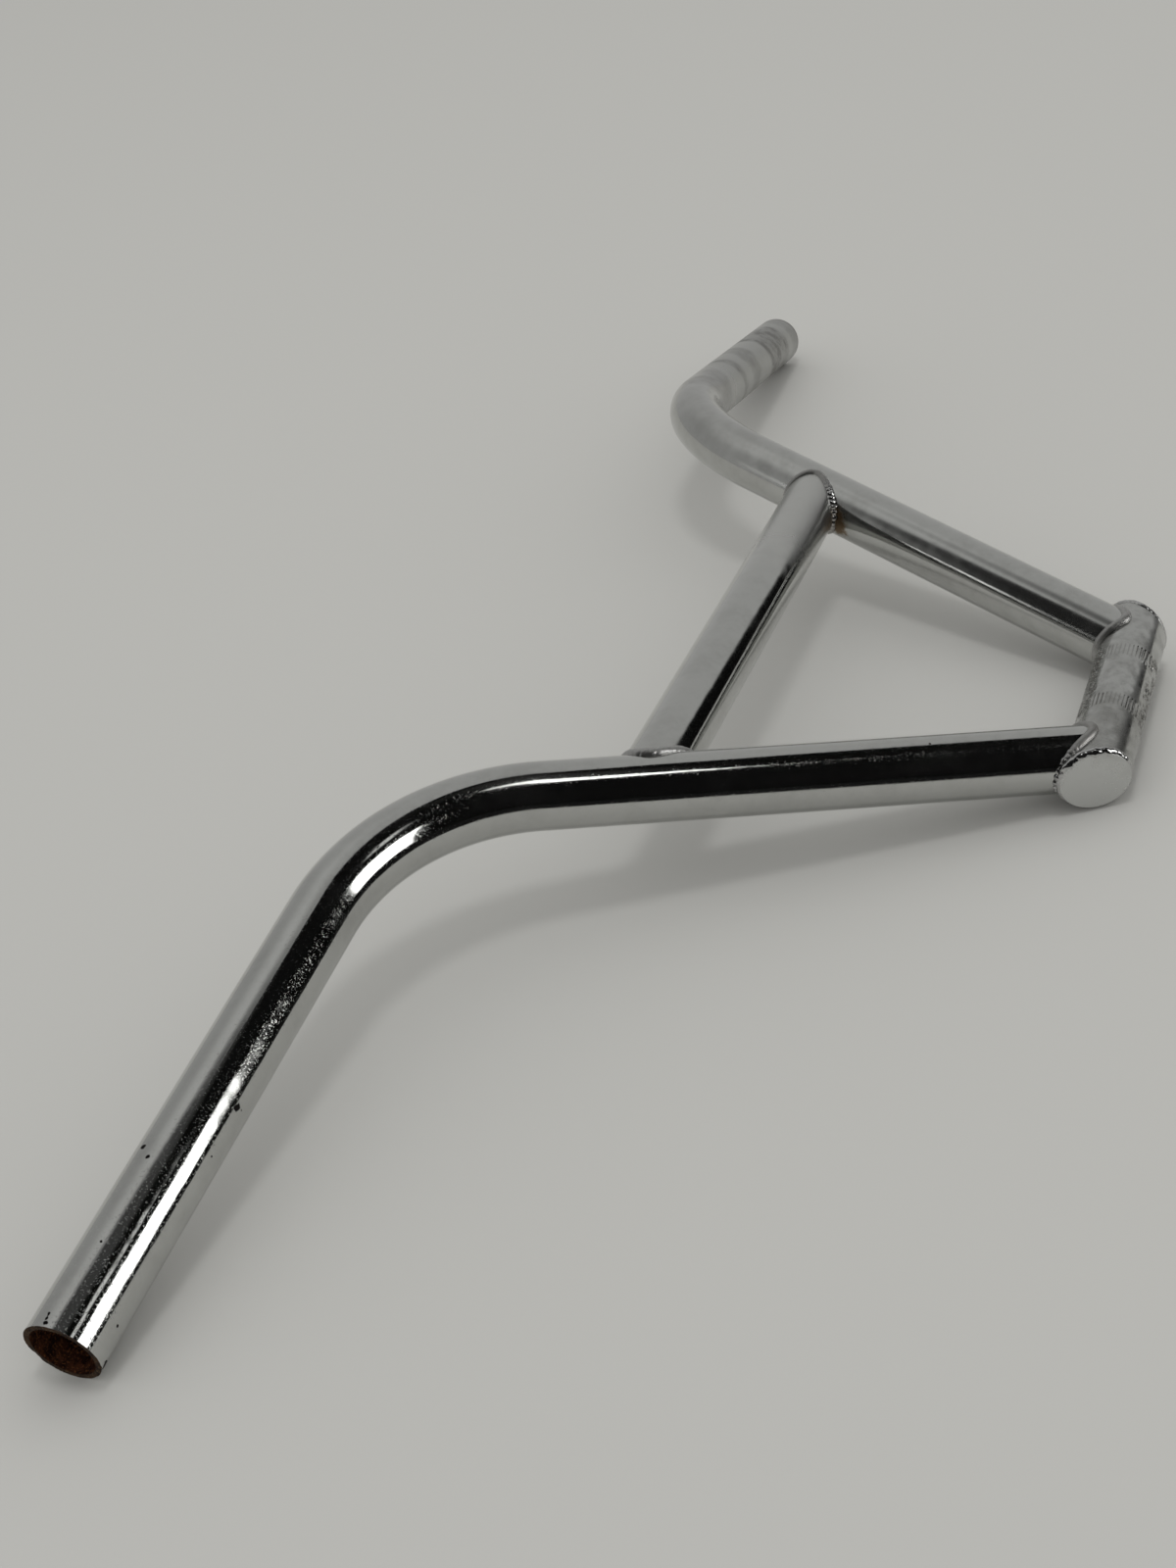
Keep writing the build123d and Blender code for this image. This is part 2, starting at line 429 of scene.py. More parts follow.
def rusty_corner(tree, colour, rough, share=0.9):
    """Rust that has run from the inner corner of the far crossbar joint."""
    core = times(tree, near_point(tree, rust_corner, rust_reach, rust_fray, 380, 0.5), share)
    return blend(tree, core, colour, rust_brown), at_least(tree, rough, core, 0.6)


def satin_end(tree, place, colour, rough):
    """The crossbar turns from bright to satin towards its far end."""
    along = add(tree, "ShaderNodeSeparateXYZ", {0: place}).outputs[2]
    frayed = calc(tree, "ADD", along, times(tree, noise_field(tree, place, 150, 3), satin_fray))
    satin = ramp(tree, frayed, satin_start, satin_full)
    colour = blend(tree, times(tree, satin, 0.5), colour, satin_white)
    return rusty_corner(tree, colour, at_least(tree, rough, satin, 0.3))


print("Satin from", round(satin_start / mm), "to", round(satin_full / mm), "mm from the middle")

# %% [markdown]
# An old rubber grip has left its film on the far end, in bands with wandering edges. They are worked out
# from the straight attribute, whose third part is the length along the bar. A band is given by where it
# starts and stops, in millimetres from the open end, and by how strong it is. The whole end is also a
# little greyer than the bend, and its rim is dark.

# %% Film bands on the far grip
film_bands = ((0, 12, 0.6), (24, 62, 1.0), (84, 100, 0.7), (112, 119, 0.9), (140, 170, 0.55))
film_grey = (0.19, 0.187, 0.178, 1)
film_edge = 2.5 * mm
film_wander = 11 * mm
rim_dark = (0.07, 0.06, 0.05, 1)
rim_start = bar_length - 2.2 * mm
rim_full = bar_length - 1.2 * mm


def filmed_grip(tree, place, colour, rough):
    """Grey bands with wandering edges round the far grip."""
    along = add(tree, "ShaderNodeSeparateXYZ", {0: place}).outputs[2]
    wander = times(tree, noise_field(tree, place, 55, 3), 2 * film_wander)
    from_end = calc(tree, "SUBTRACT", calc(tree, "SUBTRACT", bar_length + film_wander, along), wander)
    film = 0.0
    for start, stop, share in film_bands:
        begun = ramp(tree, from_end, start * mm - film_edge, start * mm + film_edge)
        over = ramp(tree, from_end, stop * mm + film_edge, stop * mm - film_edge)
        film = at_least(tree, film, times(tree, begun, over), share)
    smeared = ramp(tree, noise_field(tree, place, 130, 4, 0.65), 0.35, 0.6, 0.45, 0.95)
    film = times(tree, film, smeared)
    colour = blend(tree, ramp(tree, from_end, 240 * mm, 140 * mm, 0, 0.35), colour, film_grey)
    colour = blend(tree, film, colour, film_grey)
    colour = blend(tree, ramp(tree, along, rim_start, rim_full, 0, 0.8), colour, rim_dark)
    rough = calc(tree, "MAXIMUM", rough, ramp(tree, from_end, 190 * mm, 120 * mm, 0, 0.3))
    return rusty_corner(tree, colour, at_least(tree, rough, film, 0.42))


near_chrome = chrome("near_chrome", grain=1.6, dull=0.35, soil=chipped, rubbed=2.6)
far_chrome = chrome("far_chrome", grain=0.25, smooth=0.13, haze=0.04, dull=0.5, soil=filmed_grip)
crossbar_chrome = chrome("crossbar_chrome", grain=0.35, smooth=0.06, haze=0.04, dull=0.4, soil=satin_end)
for material in (near_chrome, far_chrome, crossbar_chrome):
    print(material.name, "with", len(material.node_tree.nodes), "nodes")

# %% [markdown]
# ## Rust in the open ends
#
# The saw cut through the plating, so the sawn edge and the bore are bare steel. The bore has gone dark red
# brown, and the edge, which fingers rub, is a duller brown. Both are the same recipe with other colours:
# two noise fields mix three tones, and a coarse bump stands for the flakes of scale.

# %% Materials for bare rusted steel
rust_roughness = 0.7


def rusted(name, dark, middle, light, flake):
    """Rust in three tones, without any metallic shine."""
    material, tree, shader = new_material(name)
    shader.inputs["Specular IOR Level"].default_value = 0.1
    place = add(tree, "ShaderNodeTexCoord", {}).outputs["Object"]
    coarse = ramp(tree, noise_field(tree, place, 300, 5, 0.65), 0.38, 0.62)
    fine = ramp(tree, noise_field(tree, place, 1500, 3), 0.48, 0.72)
    colour = blend(tree, fine, blend(tree, coarse, dark, middle), light)
    wire_shader(tree, shader, colour, rust_roughness, flake, calc(tree, "ADD", coarse, fine))
    return material


bore_rust = rusted(
    "bore_rust", (0.01, 0.003, 0.002, 1), (0.05, 0.015, 0.006, 1), (0.15, 0.055, 0.018, 1), flake=0.4 * mm
)
edge_rust = rusted(
    "edge_rust", (0.012, 0.006, 0.004, 1), (0.045, 0.024, 0.012, 1), (0.085, 0.055, 0.03, 1), flake=0.2 * mm
)
print("Rust:", bore_rust.name, edge_rust.name)

# %% [markdown]
# ## Coped ends
#
# A tube that is welded to the side of another is first cut to a saddle that fits it, which is called a
# cope. Each vertex of the cut end slides along its tube until it lies on the other one, and no boolean is
# needed. Where both tubes are one size, the saddle runs out into thin tips. They stop at a narrow land,
# which the bead covers, as a welder grinds them off.

# %% Helper for coped ends
land = 0.7 * mm


def cope(verts, way, carrier_place, carrier_way):
    """Slide vertices along a tube until they lie on the tube that it is coped to."""
    across = way - carrier_way * way.dot(carrier_way)
    tip = (tube_radius**2 - (tube_radius - land) ** 2) / across.length_squared
    for vert in verts:
        arm = vert.co - carrier_place
        arm -= carrier_way * arm.dot(carrier_way)
        half = arm.dot(across) / across.length_squared
        rest = (arm.length_squared - tube_radius**2) / across.length_squared
        vert.co += way * (-half + sqrt(max(half**2 - rest, tip)))


print("Land", round(land / mm, 2), "mm wide")

# %% [markdown]
# ## The two bent bars
#
# Each bar is one tube: up the riser, round a 60 degree bend, and out to an open grip end. Its foot is coped
# onto the clamp tube. One washer is carried all the way, so the skin has no seams at the bend.

# %% Grow the right bar
bar_segments = 128
riser_rows = 16
bend_rows = 56
grip_rows = 40
first_row = 24 * mm


def bar_blank():
    """The right bar from its coped foot to its square grip end, with the end's faces."""
    bm = bmesh.new()
    start = washer(bm, foot, riser_way, tube_radius, bore_radius, bar_segments)
    foot_verts = corners(start)
    faces = run_on(bm, start, riser_way * first_row)
    faces = run_on(bm, faces, riser_way * (riser_run - first_row), riser_rows)
    faces = run_round(bm, faces, bend_centre, bend_axis, bend_turn, bend_rows)
    faces = run_on(bm, faces, grip_end - bend_end, grip_rows)
    cope(foot_verts, riser_way, foot, clamp_way)
    return bm, faces


right_bar, end_faces = bar_blank()
print("Bar rows:", riser_rows + bend_rows + grip_rows + 1)

# %% [markdown]
# ### Laid out straight
#
# The drawn lines of a bent tube follow its bend. So each vertex carries an attribute called straight, which
# says how far along and round the tube it lies with the bend taken out. An unwrapped UV map could do this
# too, but it would have a seam.

# %% Lay a tube out straight
def straight_bar(place):
    """Where a point of the right bar would lie if the tube were unbent, with its length along Z."""
    if (place - bend_start).dot(riser_way) < 0:
        start, way, gone = foot, riser_way, 0.0
    elif (place - bend_end).dot(grip_way) > 0:
        start, way, gone = bend_end, grip_way, riser_run + bend_run
    else:
        arm = place - bend_centre
        turned = atan2(arm.dot(riser_way), -arm.dot(bend_axis.cross(riser_way)))
        way = Matrix.Rotation(turned, 3, bend_axis) @ riser_way
        start = bend_centre + Matrix.Rotation(turned, 3, bend_axis) @ (bend_start - bend_centre)
        gone = riser_run + bend_radius * turned
    arm = place - start
    return Vector((arm.dot(bend_axis), arm.dot(way.cross(bend_axis)), gone + arm.dot(way)))


def straight_x(place):
    """The same for a tube that runs along the clamp's direction."""
    return Vector((place.dot(rise_way), place.dot(front_way), place.x))


def lay_straight(bm, where):
    """Store a vector on each vertex that the wear patterns read."""
    layer = bm.verts.layers.float_vector.new("straight")
    for vert in bm.verts:
        vert[layer] = where(vert.co)


print("The grip ends", round(straight_bar(grip_end).z / mm, 1), "mm along the bar")

# %% [markdown]
# ### A finished piece
#
# The bar is the same on both sides, so the left pieces are mirrored copies of the right ones. A piece keeps
# its place in its mesh and its object stays at the origin. Faces are shaded smooth, and edges stay sharp
# where they turn by more than a given angle.

# %% Helpers for finished pieces
sharp_angle = radians(32)


def other_side(place):
    """A point or a direction on the other side of the clamp tube's middle."""
    return Vector((-place.x, place.y, place.z))


def mirrored(bm):
    """A copy of a mesh on the other side of the clamp tube's middle."""
    other = bm.copy()
    bmesh.ops.scale(other, verts=other.verts, vec=(-1, 1, 1))
    bmesh.ops.reverse_faces(other, faces=other.faces)
    return other


def in_scene(name, data):
    """A new object in the scene, at the origin."""
    made = bpy.data.objects.new(name, data)
    bpy.context.scene.collection.objects.link(made)
    return made


def piece(bm, name, slot, *materials):
    """Turn a finished mesh into an object that stands for the node of the same name."""
    bmesh.ops.recalc_face_normals(bm, faces=bm.faces)
    for face in bm.faces:
        face.smooth = True
    for edge in bm.edges:
        edge.smooth = edge.calc_face_angle(0) < sharp_angle
    volume = bm.calc_volume()
    mesh = bpy.data.meshes.new(name)
    bm.to_mesh(mesh)
    bm.free()
    made = in_scene(name, mesh)
    for material in materials:
        mesh.materials.append(material)
    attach(made, "root")
    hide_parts(name.removesuffix("_fine"))
    print(name, len(mesh.polygons), "faces,", round(volume / mm**3), "cubic mm")


left_end = other_side(grip_end)
left_way = other_side(grip_way)
print("Grip ends", round((grip_end - left_end).length / mm, 1), "mm apart")

# %% [markdown]
# ### A rough saw cut
#
# The grip ends were cut by hand. The end face is divided into narrow rings, and noise pushes its vertices
# inwards along the tube, never outwards, so the bar keeps its length. Fine grain is the saw's, and a few
# deeper nicks are where the blade caught. The bore's faces get the second material and the end face the
# third.

# %% Rough ends and the bore's faces
cut_depth = 0.35 * mm
grain_scale = 1300
nick_scale = 330
end_rings = 4
grain_share = 0.5
nick_share = 1.6
nick_level = 0.2
hair = 0.01 * mm
wall = tube_radius - bore_radius
rim_edges = once(edge for face in end_faces for edge in face.edges)
radial = [edge for edge in rim_edges if abs(edge.calc_length() - wall) < hair]
bmesh.ops.subdivide_edges(right_bar, edges=radial, cuts=end_rings, use_grid_fill=True)
lay_straight(right_bar, straight_bar)


def rough_cut(bm, end, way, seed):
    """Push the vertices of an end face inwards by noise."""
    for vert in bm.verts:
        if abs((vert.co - end).dot(way)) < hair:
            grain = noise.noise(vert.co * grain_scale + Vector((seed, 0, 0))) * 0.5 + 0.5
            nick = max(noise.noise(vert.co * nick_scale + Vector((0, seed, 0))) - nick_level, 0)
            vert.co -= way * cut_depth * (grain_share * grain + nick_share * nick)


def rust_faces(bm, end, way):
    """Give the bore the second material and the end face the third."""
    for face in bm.faces:
        centre = face.calc_center_median()
        at_end = abs((centre - end).dot(way)) < cut_depth * 1.5 and abs(face.normal.dot(way)) > 0.4
        where = straight_bar(Vector((-abs(centre.x), centre.y, centre.z)))
        inside = sqrt(where.x**2 + where.y**2) < bore_radius + 0.1 * mm
        face.material_index = 2 if at_end else int(inside)


left_bar = mirrored(right_bar)
for bm, end, way, seed in ((right_bar, grip_end, grip_way, 3.0), (left_bar, left_end, left_way, 8.0)):
    rough_cut(bm, end, way, seed)
    bm.normal_update()
    rust_faces(bm, end, way)
piece(right_bar, "right_bar_fine", "tube", near_chrome, bore_rust, edge_rust)
piece(left_bar, "left_bar_fine", "tube", far_chrome, bore_rust, edge_rust)

# %% [markdown]
# ## Crossbar
#
# The crossbar is a straight tube, coped at both ends onto the risers. One run from joint to joint is
# enough. Its first and last rows are long, so that the coped ends have room to slide.

# %% Grow the crossbar
crossbar_rows = 24
crossbar = bmesh.new()
start = washer(crossbar, crossbar_joint, clamp_way, tube_radius, crossbar_bore_radius, bar_segments)
start_verts = corners(start)
faces = run_on(crossbar, start, clamp_way * first_row)
faces = run_on(crossbar, faces, clamp_way * (-2 * crossbar_joint.x - 2 * first_row), crossbar_rows)
faces = run_on(crossbar, faces, clamp_way * first_row)
cope(start_verts, clamp_way, foot, riser_way)
cope(corners(faces), -clamp_way, other_side(foot), other_side(riser_way))
lay_straight(crossbar, straight_x)
piece(crossbar, "crossbar_fine", "tube", crossbar_chrome)

# %% [markdown]
# ## Clamp tube
#
# The stem grips this short tube between the risers. Its ends are mitred to run beside them, by sliding the
# end rings onto the mitre plane. The rows are close where the stem's marks will be pressed in.

# %% Grow the clamp tube
clamp_segments = 384
band_centre = 17.1 * mm
band_half = 4.1 * mm
band_rows = 18
gap_rows = 34
bite_reach = 24 * mm


def mitre(verts, normal, place):
    """Slide vertices along X onto a mitre plane."""
    for vert in verts:
        vert.co.x += (place - vert.co).dot(normal) / normal.x


def clamp_blank():
    """The clamp tube between its mitred ends, with close rows at its two bands."""
    bm = bmesh.new()
    start = washer(bm, clamp_end, clamp_way, tube_radius, clamp_bore_radius, clamp_segments)
    start_verts = corners(start)
    stops = [clamp_end.x, -bite_reach, -band_centre - band_half, -band_centre + band_half]
    stops += [-stop for stop in reversed(stops)]
    faces = start
    for here, after, rows in zip(stops, stops[1:], (2, 4, band_rows, gap_rows, band_rows, 4, 2)):
        faces = run_on(bm, faces, clamp_way * (after - here), rows)
    mitre(start_verts, end_way, clamp_end)
    mitre(corners(faces), other_side(end_way), other_side(clamp_end))
    return bm


clamp_tube = clamp_blank()
lay_straight(clamp_tube, straight_x)
print("Clamp tube", len(clamp_tube.faces), "faces")

# %% [markdown]
# ### Knurled bands
#
# Two bands of short axial grooves keep the bar from turning in the stem. A bump would be missing from the
# outline, so they are real geometry: a formula lowers each groove and raises a lip beside it. They are worn
# away where the stem has slipped, along two strips of the tube. A strip is given by the middle and the half
# width of its turn in degrees.

# %% Press the grooves
tau = 2 * pi
groove_count = 48
groove_depth = 0.2 * mm
lip_share = 0.3
lip_lag = 0.3
band_edge = 0.5 * mm
wear_scale = 130
bite_strips = ((160, 26), (26, 26))


def knurl(bm):
    """Press the two bands of grooves into the outer skin, and note how deep each vertex lies."""
    layer = bm.verts.layers.float.new("groove")
    for vert in bm.verts:
        beside = abs(abs(vert.co.x) - band_centre)
        round_part = vert.co - clamp_way * vert.co.x
        if beside < band_half and round_part.length > tube_radius - 0.1 * mm:
            turn = atan2(round_part.dot(front_way), round_part.dot(rise_way)) / tau * groove_count
            aside = turn * 360 / groove_count
            chewed = max(max(1 - abs(aside - middle) / wide, 0) for middle, wide in bite_strips)
            valley = max(cos(tau * turn), 0) ** 2
            lip = max(cos(tau * (turn - lip_lag)), 0) ** 4
            fade = min((band_half - beside) / band_edge, 1)
            uneven = min(max(0.85 + 1.1 * noise.noise(vert.co * wear_scale), 0.55), 1.2)
            uneven *= 1 - min(2 * chewed, 0.85)
            vert.co += round_part.normalized() * groove_depth * fade * uneven * (lip_share * lip - valley)
            vert[layer] = valley * fade * uneven


knurl(clamp_tube)
print(groove_count, "grooves in each band")

# %% [markdown]
# ### Bitten strips
#
# The stem's edges have chewed the skin along those two strips. Two noise fields that are stretched round
# the tube make the marks, and a third leaves gaps between them.

# %% Chew the two strips
bite_depth = 0.7 * mm
bite_fade = 3 * mm
mark_scales = (900, 0.13)
scratch_scales = (2000, 0.25)
gap_scales = (160, 0.05)


def field(vert, turn, scales, seed):
    """Noise at a point of the tube, by its length and its turn."""
    return noise.noise(Vector((vert.co.x * scales[0], turn * scales[1], seed)))


def bite(bm):
    """Chew the skin where the stem's edges have slipped, along two strips of the tube."""
    layer = bm.verts.layers.float.new("bite")
    for vert in bm.verts:
        round_part = vert.co - clamp_way * vert.co.x
        if abs(vert.co.x) < bite_reach and round_part.length > tube_radius - 0.5 * mm:
            turn = degrees(atan2(round_part.dot(front_way), round_part.dot(rise_way)))
            for middle, half_width in bite_strips:
                reach = max(1 - abs(turn - middle) / half_width, 0)
                ends = min((bite_reach - abs(vert.co.x)) / bite_fade, 1)
                marks = field(vert, turn, mark_scales, middle)
                marks += 0.5 * field(vert, turn, scratch_scales, middle)
                patch = field(vert, turn, gap_scales, middle + 5) + 0.6
                chew = max(marks + 0.35, 0) * min(max(patch, 0), 1) * min(reach * 2, 1) * ends
                vert.co -= round_part.normalized() * bite_depth * chew
                vert[layer] = max(vert[layer], min(chew * 2.5, 1))


bite(clamp_tube)
print(len(bite_strips), "strips,", round(bite_depth / mm, 2), "mm deep at most")

# %% [markdown]
# Where the stem has sat, the chrome is rubbed to grey blotches, and the bites are dark with dirt. The
# grooves are darkened in their valleys, partly as dirt and partly as painted shade. The material reads both
# attributes.

# %% Chrome for the clamp tube
stem_grey = (0.2, 0.2, 0.19, 1)


def handled(tree, place, colour, rough):
    """Grey blotches where the stem has sat."""
    blotch = ramp(tree, noise_field(tree, place, 240, 5, 0.7), 0.42, 0.68, 0, 0.36)
    rough = calc(tree, "ADD", rough, times(tree, blotch, 0.2))
    return blend(tree, blotch, colour, stem_grey), rough


# The groove mark paints shade into the valleys as well as dirt; the bite mark is dirt.
clamp_chrome = chrome(
    "clamp_chrome", {"groove": 0.75, "bite": 0.9}, grain=0.8, smooth=0.1, haze=0.12, dull=1.0,
    tone=0.51, soil=handled
)
piece(clamp_tube, "clamp_tube_fine", "tube", clamp_chrome)

# %% [markdown]
# ## End plates
#
# A flat plate closes each mitred end. It starts as a circle the size of the tube, is slid onto the mitre
# plane, which makes it the right oval, and is extruded by its thickness. Its outer edge is rolled with a
# small bevel. The plates are satin rather than bright, so their chrome is less metallic and rougher than
# the tubes'.

# %% Cut the plates
plate_radius = tube_radius - 0.4 * mm
plate_roll = 0.35 * mm
plate_chrome = chrome("plate_chrome", grain=0.0, smooth=0.25, haze=0.12, tone=0.5, metallic=0.6)
right_plate = bmesh.new()
oval = ring(right_plate, square_to(clamp_end, clamp_way), plate_radius, bar_segments)
mitre(corners(oval), end_way, clamp_end)
inner_face = bmesh.ops.contextual_create(right_plate, geom=oval)["faces"]
grown = bmesh.ops.extrude_face_region(right_plate, geom=inner_face, use_keep_orig=True)["geom"]
outer_face = kept(bmesh.types.BMFace, grown)[0]
bmesh.ops.translate(right_plate, verts=outer_face.verts, vec=end_way * plate_thickness)
bmesh.ops.recalc_face_normals(right_plate, faces=right_plate.faces)
bmesh.ops.bevel(right_plate, geom=list(outer_face.edges), offset=plate_roll, offset_type="OFFSET", segments=3,
                profile=0.5, affect="EDGES", material=-1)
lay_straight(right_plate, straight_x)
left_plate = mirrored(right_plate)
piece(right_plate, "right_end_plate_fine", "plate", plate_chrome)
piece(left_plate, "left_end_plate_fine", "plate", plate_chrome)

# %% [markdown]
# ## Lines for the weld beads
#
# A bead runs along a closed line where two pieces meet. Round a coped joint that line is where two
# cylinders cross, and round an end plate it is an oval on the mitre plane. Both are functions of one angle,
# so that a bead can be laid along either. The bead stands away from both tubes, and that direction is
# worked out here too.

# %% Lines round the joints
rim_line_radius = 10.35 * mm
rim_line_rise = 0.05 * mm


def joint_line(root, branch_way, carrier_way):
    """The closed line round a coped joint of two tubes of one radius, as a function of an angle."""
    line_radius = tube_radius - land
    outward = branch_way - carrier_way * branch_way.dot(carrier_way)
    lift = outward.length
    across = branch_way.cross(front_way)
    slant = across.dot(outward.normalized())

    def line(turn):
        front = line_radius * sin(turn)
        beside = line_radius * cos(turn)
        climb = (sqrt(tube_radius**2 - front**2) - beside * slant) / lift
        return root + branch_way * climb + across * beside + front_way * front

    return line


def rim_line(turn):
    """The line round the end plate's edge."""
    place = rise_way * cos(turn) * rim_line_radius + front_way * sin(turn) * rim_line_radius
    middle = clamp_end + end_way * rim_line_rise
    return place + clamp_way * (middle - place).dot(end_way) / end_way.x


def away_from(axes):
    """A function that gives the direction away from some tubes' axes at a point."""

    def out(place):
        total = Vector((0, 0, 0))
        for root, way in axes:
            arm = place - root
            total += (arm - way * arm.dot(way)).normalized()
        return total.normalized()

    return out


riser_line = joint_line(foot, riser_way, clamp_way)
riser_out = away_from([(foot, riser_way), (foot, clamp_way)])
crossbar_line = joint_line(crossbar_joint, clamp_way, riser_way)
crossbar_out = away_from([(crossbar_joint, clamp_way), (foot, riser_way)])
rim_out = away_from([(Vector((0, 0, 0)), clamp_way)])
print("Riser joint spans", round((riser_line(0) - riser_line(pi)).length / mm, 1), "mm")

# %% [markdown]
# ## Growing a bead
#
# A bead is a row of puddles, each frozen over the edge of the one before. Its rows stand at equal steps
# along the joint's line, a fixed number to each puddle, so the line is first walked in fine steps.

# %% Stations along a line
rows_per_puddle = 9
fine_steps = 1440


def stations(line, out, pitch):
    """Places and directions at equal steps along a closed line, and how many puddles fit."""
    fine = [line(tau * step / fine_steps) for step in range(fine_steps + 1)]
    walked = [0.0]
    for here, after in zip(fine, fine[1:]):
        walked.append(walked[-1] + (after - here).length)
    puddles = round(walked[-1] / pitch)
    rows = puddles * rows_per_puddle
    frames = []
    step = 0
    for row in range(rows):
        while walked[step + 1] < walked[-1] * row / rows:
            step += 1
        heading = (fine[step + 1] - fine[step]).normalized()
        up = out(fine[step])
        up = (up - heading * up.dot(heading)).normalized()
        axes = Matrix((up, heading.cross(up), heading)).transposed().to_4x4()
        frames.append(Matrix.Translation(fine[step]) @ axes)
    middle = sum(fine[:-1], Vector()) / fine_steps
    return frames, puddles, middle


print(stations(riser_line, riser_out, 1.7 * mm)[1], "puddles round the near riser")

# %% [markdown]
# A ring is extruded from station to station, and then a wave along the bead swells and pinches it. The wave
# lags at the bead's edges, which gives the curved ripples of a real bead. Noise makes the puddles uneven. A
# bead stands fullest on one side, where the welder had the best reach, and that fullness is stored for the
# material to read.

# %% Grow and ripple a bead
bead_segments = 24
crescent = 0.45
crest_power = 0.6
puddle_size = 0.97
puddle_change = 0.1
puddle_stride = 3.7
lump_scale = 0.95
nowhere = Vector((0, 0, 0))


def bead(line, out, radius, pitch, ripple, lumpy, seed,
         proud=nowhere, share=0.5, sunk=1.0, swell=0.0):
    """A rippled bead along a closed line, fullest on the proud side and sunk on the other."""
    frames, puddles, middle = stations(line, out, pitch)
    bm = bmesh.new()
    layer = bm.verts.layers.float.new("fullness")
    first = ring(bm, frames[0], radius, bead_segments)
    edges, rings = first, [corners(first)]
    for before, after in zip(frames, frames[1:]):
        grown = bmesh.ops.extrude_edge_only(bm, edges=edges)["geom"]
        verts = kept(bmesh.types.BMVert, grown)
        edges = [edge for edge in kept(bmesh.types.BMEdge, grown) if set(edge.verts) <= set(verts)]
        bmesh.ops.transform(bm, verts=verts, matrix=after @ before.inverted())
        rings.append(verts)
    bmesh.ops.bridge_loops(bm, edges=first + edges)
    for row, (verts, axes) in enumerate(zip(rings, frames)):
        back = axes.inverted()
        full = min(max(share + (axes.translation - middle).dot(proud) / tube_radius, 0), 1)
        for vert in verts:
            vert[layer] = full
            local = back @ vert.co
            lean = 1 - local.x / radius
            phase = row / rows_per_puddle - crescent * lean
            puddle = int(phase // 1)
            change = noise.noise(Vector((puddle % puddles * puddle_stride, seed, 0)))
            size = puddle_size + puddle_change * full * change
            crest = abs(sin(pi * phase)) ** crest_power
            lumps = lumpy * noise.noise(vert.co * lump_scale / pitch + Vector((seed, 0, 0)))
            size += full * (lumps - ripple * (1 - crest))
            vert.co = axes @ (local * size * (sunk + (1 - sunk) * full + swell * full**4))
    return bm


print("Each puddle has", rows_per_puddle * bead_segments, "faces")

# %% [markdown]
# The beads were plated with the tubes. Where a bead lies flat its chrome is satin and darker, partly from
# dirt and partly as painted shade in the crease, and where it stands full it is smooth and bright. So one
# material reads the stored fullness.

# %% Chrome for the beads
bead_bright = (0.525, 0.525, 0.52, 1)
bead_dirt_and_shade = (0.22, 0.21, 0.19, 1)
bead_bump = 0.1 * mm


def weld_chrome(name, smooth, satin):
    """Chrome over a bead: satin and darker where it lies flat, as dirt and painted crease shade, smooth where
    it stands full.
    """
    material, tree, shader = new_material(name, metallic=1.0)
    place = add(tree, "ShaderNodeTexCoord", {}).outputs["Object"]
    full = add(tree, "ShaderNodeAttribute", {}, attribute_name="fullness").outputs["Fac"]
    grain = noise_field(tree, place, 1100, 4)
    dirt = ramp(tree, noise_field(tree, place, 320, 3), 0.5, 0.75)
    # Darker where the bead lies flat: partly dirt, partly painted shade in the crease; the noise adds dirt.
    dull = calc(tree, "ADD", times(tree, dirt, 0.3), ramp(tree, full, 0.1, 0.8, 0.45, 0))
    colour = blend(tree, dull, bead_bright, bead_dirt_and_shade)
    rough = ramp(tree, full, 0.3, 0.9, satin, smooth)
    rough = calc(tree, "ADD", rough, ramp(tree, grain, 0.3, 0.7, 0, 0.1))
    colour, rough = rusty_corner(tree, colour, rough, 0.3)
    wire_shader(tree, shader, colour, rough, bead_bump, grain)
    return material


weld = weld_chrome("weld_chrome", smooth=0.1, satin=0.42)
print(weld.name, "with", len(weld.node_tree.nodes), "nodes")

# %% [markdown]
# Each joint was welded by hand, so no two beads are alike. The near riser's is lumpy low on its outside,
# the far riser's is almost smooth, and the far crossbar's stands full only in its inner corner. The plates'
# beads are fullest at the top left. After the line and the direction come the radius, the pitch of the
# puddles, the depth of the ripples, the lumps and a seed.

# %% Lay the beads
inner_side = -rise_way
low_outside = Vector((-0.7, 0, -0.7))
top_left = front_way * 0.9 + rise_way * 0.45
right_riser = bead(riser_line, riser_out, 2.1 * mm, 1.7 * mm, 0.2, 0.26, 1.5, low_outside, 0.3, 0.95)
left_riser = bead(riser_line, riser_out, 2.0 * mm, 2.4 * mm, 0.03, 0.08, 2.5, share=0.35)
right_crossbar = bead(crossbar_line, crossbar_out, 2.1 * mm, 1.9 * mm, 0.1, 0.14, 4.5, share=0.45)
left_crossbar = bead(
    crossbar_line, crossbar_out, 2.2 * mm, 1.7 * mm, 0.2, 0.12, 5.5, inner_side * 1.5, -0.3, 0.85, swell=0.3
)
right_rim = bead(rim_line, rim_out, 1.6 * mm, 2.9 * mm, 0.13, 0.24, 7.5, top_left, 0.6, 0.42)
left_rim = bead(rim_line, rim_out, 1.3 * mm, 1.9 * mm, 0.05, 0.06, 8.5, top_left, 0.2, 0.5)
beads = {
    "right_riser_weld_fine": right_riser,
    "left_riser_weld_fine": mirrored(left_riser),
    "right_crossbar_weld_fine": right_crossbar,
    "left_crossbar_weld_fine": mirrored(left_crossbar),
    "right_plate_weld_fine": right_rim,
    "left_plate_weld_fine": mirrored(left_rim),
}
for name, made in beads.items():
    piece(made, name, "weld", weld)
